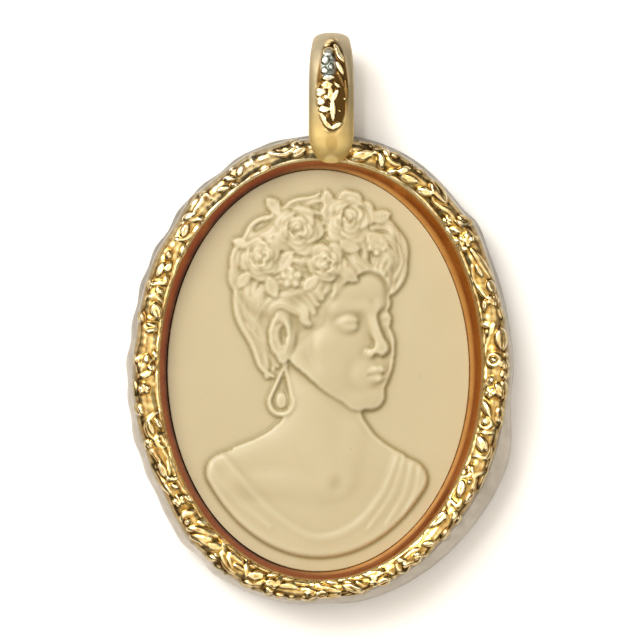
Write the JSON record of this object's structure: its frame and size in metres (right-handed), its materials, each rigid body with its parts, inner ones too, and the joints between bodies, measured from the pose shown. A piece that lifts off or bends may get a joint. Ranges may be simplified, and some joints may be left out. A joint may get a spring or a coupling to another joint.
{
  "type": "cameo pendant",
  "caption": "Oval cameo pendant: a moulded resin lady's bust in a cast gilt frame with a raised floral band, a flared inner wall and a fixed bail.",
  "frame": {"origin": "middle of the bounding box, on the surface that the pendant lies on", "axes": "+X to the right of the front, +Y towards the bail, +Z out of the front"},
  "size_m": [0.039, 0.0574, 0.0092],
  "materials": {
    "gilt_metal": "cast and polished gilt metal",
    "resin": "cream moulded resin, satin"
  },
  "bodies": {
    "root": {"frame": "gilt_metal", "cameo": "resin"}
  },
  "joints": []
}
